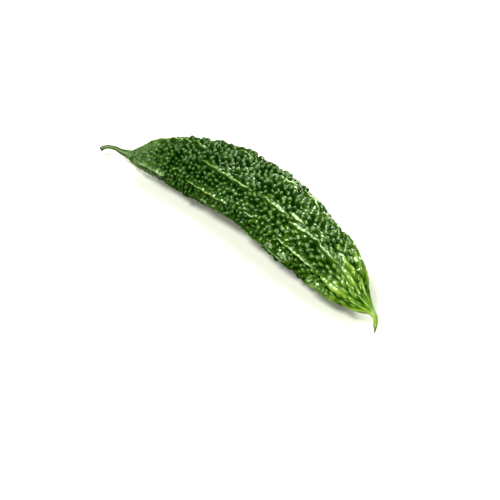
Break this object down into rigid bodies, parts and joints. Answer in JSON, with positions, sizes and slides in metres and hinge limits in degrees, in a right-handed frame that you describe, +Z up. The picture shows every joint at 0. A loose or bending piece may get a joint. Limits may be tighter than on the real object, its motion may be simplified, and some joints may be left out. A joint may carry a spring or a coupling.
{
  "type": "bitter gourd",
  "caption": "Bitter gourd lying on its side: a bent, warty green fruit with broken ridges, a thin hooked beak and a short cut stalk.",
  "frame": {"origin": "on the surface that the gourd lies on, under the middle of its bounding box", "axes": "+X along the fruit from the stalk towards the beak, +Z up, the hollow side of the bend towards -Y"},
  "size_m": [0.2446, 0.0506, 0.0449],
  "materials": {
    "fruit_skin": "waxy, glossy green skin, dark in the hollows and lighter on the ridges, yellow-green at the beak",
    "stalk_green": "dull grey-green stem with fine long streaks, brown at the cut",
    "dried_style": "matt, dry and brown"
  },
  "bodies": {
    "root": {"fruit": "fruit_skin", "stalk": "stalk_green", "style_remnant": "dried_style"}
  },
  "joints": []
}
